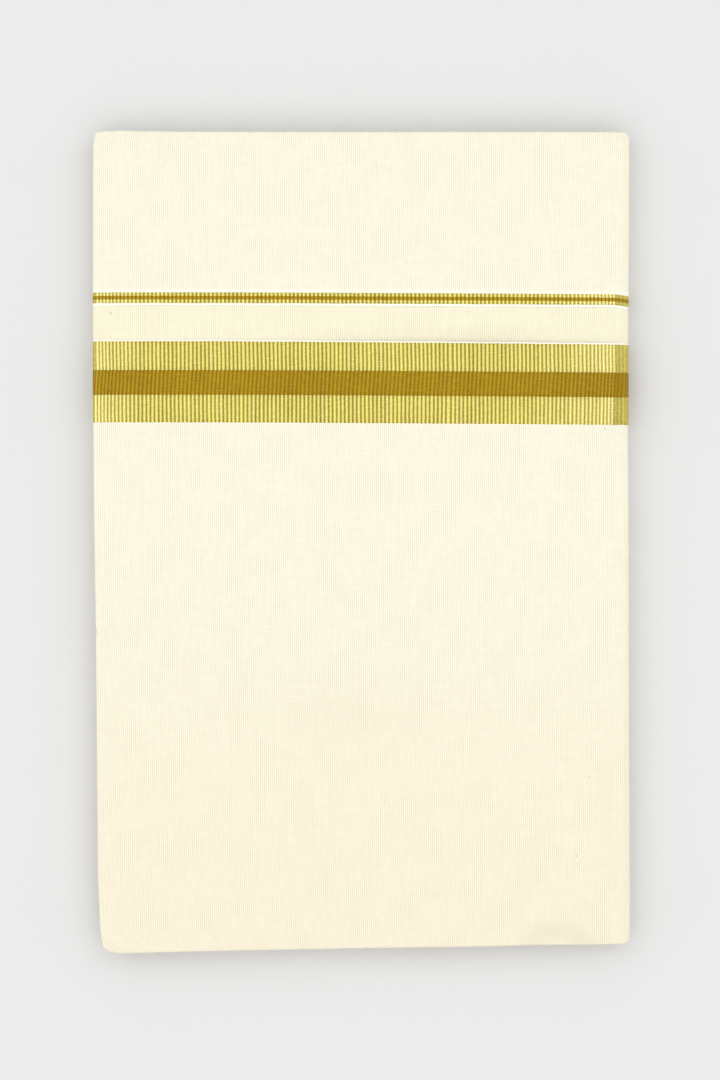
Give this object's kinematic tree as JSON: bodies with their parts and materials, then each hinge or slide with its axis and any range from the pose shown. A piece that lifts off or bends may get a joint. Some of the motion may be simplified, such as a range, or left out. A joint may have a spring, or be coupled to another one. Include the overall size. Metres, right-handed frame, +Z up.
{
  "type": "folded dhoti cloth",
  "caption": "Cream cotton dhoti with gold and bronze zari borders, folded to a flat pad that rests on a surface.",
  "frame": {"origin": "middle of the underside, on the surface that the folded cloth rests on", "axes": "+X towards the spine fold, +Y along the pile towards the upper flap's fold, +Z up through its thickness"},
  "size_m": [0.2509, 0.3834, 0.0154],
  "materials": {
    "cream_cotton": "plain woven cream cotton, matt with a faint sheen",
    "gold_zari": "ribbed metallic gold thread woven into cotton",
    "bronze_zari": "flat bronze-brown metallic thread woven into cotton"
  },
  "bodies": {
    "root": {"hidden_leaves": "cream_cotton", "upper_flap": "cream_cotton", "under_panel": "cream_cotton", "lower_flap": "cream_cotton", "narrow_border": "gold_zari", "wide_border_upper_gold": "gold_zari", "wide_border_lower_gold": "gold_zari", "wide_border_brown": "bronze_zari"}
  },
  "joints": []
}
